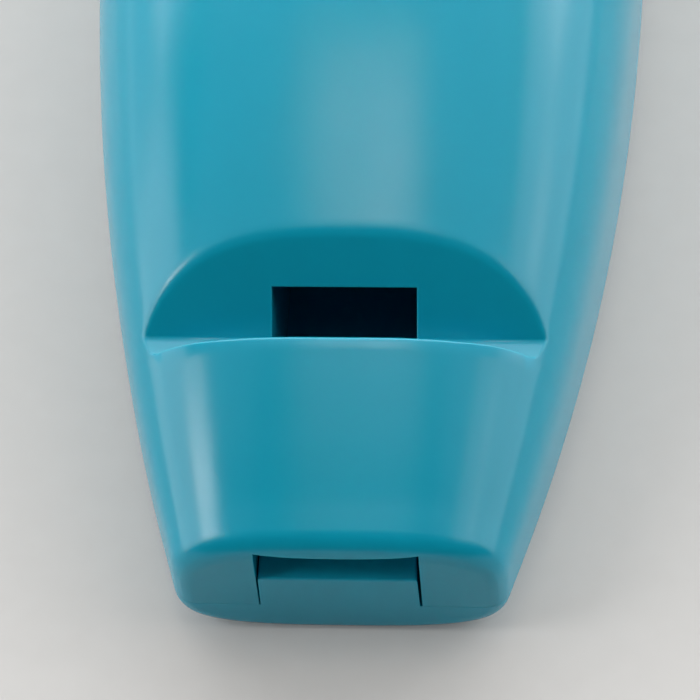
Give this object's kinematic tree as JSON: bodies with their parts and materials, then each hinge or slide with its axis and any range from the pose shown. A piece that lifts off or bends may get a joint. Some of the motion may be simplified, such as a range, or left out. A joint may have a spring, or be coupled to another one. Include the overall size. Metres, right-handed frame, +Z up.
{
  "type": "dog whistle",
  "caption": "Moulded pealess dog whistle with a mouth slot, a D-shaped sound window, a closed chamber and a steel split ring through the eye at its tail.",
  "frame": {"origin": "on the flat underside, on the centre line, 24 mm behind the mouth", "axes": "+Z up from the underside, -Y out of the mouth, +X to the right of someone facing the mouth"},
  "size_m": [0.0206, 0.0754, 0.0127],
  "materials": {
    "shell_plastic": "satin gloss moulded turquoise plastic",
    "base_plastic": "satin gloss moulded turquoise plastic",
    "ring_steel": "bright nickel-plated spring steel"
  },
  "bodies": {
    "whistle_body": {"upper_shell": "shell_plastic", "base_plate": "base_plastic"},
    "ring": {"split_ring": "ring_steel"}
  },
  "joints": [
    {"name": "ring_swing", "type": "hinge", "parent": "whistle_body", "child": "ring", "pos_m": [0, 0.0322, 0.0052], "axis": [1, 0, 0], "range_deg": [-135, 160]}
  ]
}
